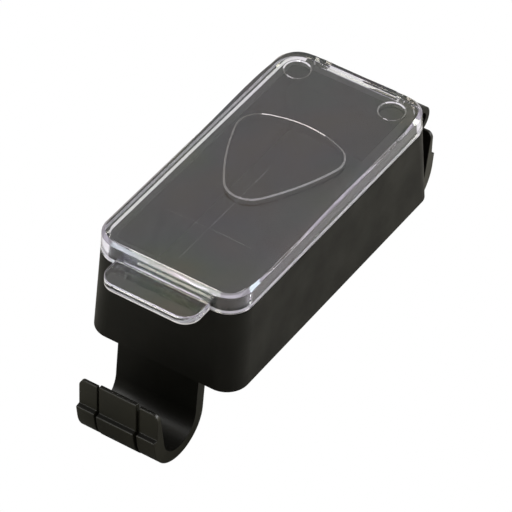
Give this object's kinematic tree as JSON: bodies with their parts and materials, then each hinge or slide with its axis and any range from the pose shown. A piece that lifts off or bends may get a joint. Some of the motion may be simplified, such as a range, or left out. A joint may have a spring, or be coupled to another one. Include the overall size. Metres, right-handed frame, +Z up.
{
  "type": "guitar pick holder box",
  "caption": "Small deep tray for guitar picks with a clear hinged lid and pull tab, and a spring hook under each end that clips over a round tube.",
  "frame": {"origin": "on the ground plane, under the middle of the tray: the centre of the overall footprint at the height of the two hooks' lowest lines", "axes": "+Z up, -Y towards the lid's pull tab, +Y towards the hinge, +X to the right seen from the pull tab"},
  "size_m": [0.0436, 0.1286, 0.0485],
  "materials": {
    "tray_plastic": "black moulded plastic with a fine satin texture",
    "hook_plastic": "black moulded plastic, slightly smoother than the tray",
    "clip_plastic": "black moulded plastic, satin",
    "clear_plastic": "clear polished moulded plastic with a faint lilac edge tint"
  },
  "bodies": {
    "tray": {"tray_shell": "tray_plastic", "front_hook_strap": "hook_plastic", "rear_hook_strap": "hook_plastic", "left_hinge_clip": "clip_plastic", "right_hinge_clip": "clip_plastic"},
    "lid": {"lid": "clear_plastic"},
    "front_arm": {"front_latch_arm": "hook_plastic"},
    "rear_arm": {"rear_latch_arm": "hook_plastic"}
  },
  "joints": [
    {"name": "lid_hinge", "type": "hinge", "parent": "tray", "child": "lid", "pos_m": [0, 0.04646, 0.03935], "axis": [-1, 0, 0], "range_deg": [0, 120]},
    {"name": "front_hook_flex", "type": "hinge", "parent": "tray", "child": "front_arm", "pos_m": [0, -0.05264, 0], "axis": [1, 0, 0], "range_deg": [0, 6], "stiffness_Nm_per_rad": 3},
    {"name": "rear_hook_flex", "type": "hinge", "parent": "tray", "child": "rear_arm", "pos_m": [0, 0.05384, 0], "axis": [-1, 0, 0], "range_deg": [0, 6], "stiffness_Nm_per_rad": 3}
  ]
}
